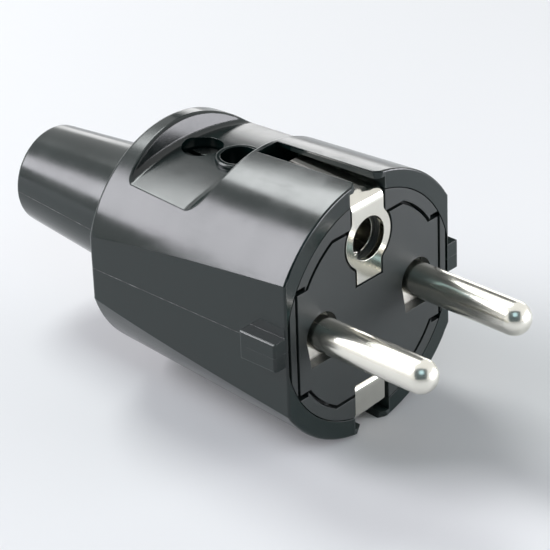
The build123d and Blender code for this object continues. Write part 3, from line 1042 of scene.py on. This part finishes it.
def add_camera(scene):
    """Camera at the photograph's place."""
    right, up, back = camera_axes()
    data = bpy.data.cameras.new("camera")
    data.lens = CAMERA_LENS_MM
    data.sensor_width = SENSOR_MM
    data.clip_start, data.clip_end = CLIP_START, CLIP_END
    camera = bpy.data.objects.new("camera", data)
    centre = back * CAMERA_DISTANCE + right * CAMERA_ASIDE + up * CAMERA_RAISE
    turn = Matrix((right, up, back)).transposed().to_4x4()
    camera.matrix_world = Matrix.Translation(centre) @ turn
    scene.collection.objects.link(camera)
    scene.camera = camera


def add_floor(scene, settings):
    """Plain pale floor under the plug."""
    low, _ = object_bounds()
    mesh = bpy.data.meshes.new("floor")
    corners = [(FLOOR_HALF * a, FLOOR_HALF * b, low.z) for a, b in SQUARE]
    mesh.from_pydata(corners, [], [SQUARE_FACE])
    floor = bpy.data.objects.new("floor", mesh)
    scene.collection.objects.link(floor)
    material, recipe = new_material("pale_floor")
    place = recipe.place()
    cloud = recipe.noise(place, waves=6.0)
    tone = between(recipe, cloud, settings.floor_colour, low=0.995, high=1.005)
    recipe.surface(Base_Color=tone, Roughness=FLOOR_ROUGHNESS)
    mesh.materials.append(material)
    floor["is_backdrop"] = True


def add_lamp(scene, name, place, size, radiance, colour):
    """Soft rectangular lamp that faces the plug, with the brightness it shows in a reflection."""
    data = bpy.data.lights.new(name, "AREA")
    data.shape = "RECTANGLE"
    data.size, data.size_y = size
    data.energy = LAMP_FACTOR * radiance * size[0] * size[1]
    data.color = colour
    lamp = bpy.data.objects.new(name, data)
    lamp.location = place
    lamp.rotation_euler = Vector(place).to_track_quat("Z", "Y").to_euler()
    scene.collection.objects.link(lamp)
    lamp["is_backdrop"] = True


def add_card(scene, name, place, size, glow):
    """Dim card that faces the plug, as the dark parts of a studio show in bright metal."""
    back = Vector(place).normalized()
    right = UP.cross(back).normalized() * (size[0] / 2)
    up = back.cross(right).normalized() * (size[1] / 2)
    corners = [Vector(place) + right * a + up * b for a, b in SQUARE]
    mesh = bpy.data.meshes.new(name)
    mesh.from_pydata(corners, [], [SQUARE_FACE])
    card = bpy.data.objects.new(name, mesh)
    card.visible_camera = False
    card.visible_shadow = False
    scene.collection.objects.link(card)
    material, recipe = new_material(name)
    recipe.surface(
        Base_Color=CARD_COLOUR, Roughness=1.0, Emission_Color=glow, Emission_Strength=1.0
    )
    mesh.materials.append(material)
    card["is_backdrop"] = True


def add_world(scene, settings):
    """White background to the camera and in reflections, plain grey light otherwise."""
    world = bpy.data.worlds.new("studio")
    world.use_nodes = True
    scene.world = world
    recipe = Recipe(world.node_tree)
    path = recipe.node("ShaderNodeLightPath")
    outputs = path.socket.node.outputs
    seen = Num(recipe, outputs["Is Camera Ray"])
    glossy = Num(recipe, outputs["Is Glossy Ray"])
    through = Num(recipe, outputs["Is Transmission Ray"])
    shown = (seen + glossy + through).upto(1.0)
    strength = settings.surround + shown * (1.0 - settings.surround)
    background = recipe.node("ShaderNodeBackground", None, WHITE, strength)
    recipe.node("ShaderNodeOutputWorld", None, background)


class PLUG_OT_stage(bpy.types.Operator):
    """Makes the floor, the lamps, the background and the camera."""

    bl_idname = "plug.stage"
    bl_label = "Set the stage"

    def execute(self, context):
        scene = context.scene
        settings = scene.plug_stage
        add_floor(scene, settings)
        add_world(scene, settings)
        for name, (place, size, brightness, colour) in LAMPS.items():
            add_lamp(scene, name, place, size, getattr(settings, brightness), colour)
        for name, (place, size, glow) in CARDS.items():
            add_card(scene, name, place, size, glow)
        add_camera(scene)
        scene.view_settings.view_transform = "Standard"
        return {"FINISHED"}


class PLUG_PT_panel(bpy.types.Panel):
    """Lists the settings and steps of the mains plug."""

    bl_idname = "PLUG_PT_panel"
    bl_label = "Mains plug"
    bl_space_type = "VIEW_3D"
    bl_region_type = "UI"
    bl_category = "Plug"

    def draw(self, context):
        layout = self.layout
        for group in ("plug_housing", "plug_metal", "plug_stage"):
            settings = getattr(context.scene, group)
            for name in settings.__annotations__:
                layout.prop(settings, name)
        for operator in OPERATORS:
            layout.operator(operator.bl_idname)


OPERATORS = [
    PLUG_OT_mouldings,
    PLUG_OT_flash,
    PLUG_OT_contacts,
    PLUG_OT_pins,
    PLUG_OT_fasteners,
    PLUG_OT_screws,
    PLUG_OT_stage,
]
CLASSES = [HousingSettings, MetalSettings, StageSettings, *OPERATORS, PLUG_PT_panel]


def register():
    """Registers the classes and hangs the settings on the scene."""
    for item in CLASSES:
        bpy.utils.register_class(item)
    bpy.types.Scene.plug_housing = PointerProperty(type=HousingSettings)
    bpy.types.Scene.plug_metal = PointerProperty(type=MetalSettings)
    bpy.types.Scene.plug_stage = PointerProperty(type=StageSettings)


def unregister():
    """Takes the settings and classes away again."""
    del bpy.types.Scene.plug_stage
    del bpy.types.Scene.plug_metal
    del bpy.types.Scene.plug_housing
    for item in reversed(CLASSES):
        bpy.utils.unregister_class(item)


def main():
    """Runs every step in order."""
    register()
    bpy.ops.plug.mouldings()
    bpy.ops.plug.flash()
    bpy.ops.plug.contacts()
    bpy.ops.plug.pins()
    bpy.ops.plug.fasteners()
    bpy.ops.plug.screws()
    bpy.ops.plug.stage()


if __name__ == "__main__":
    main()
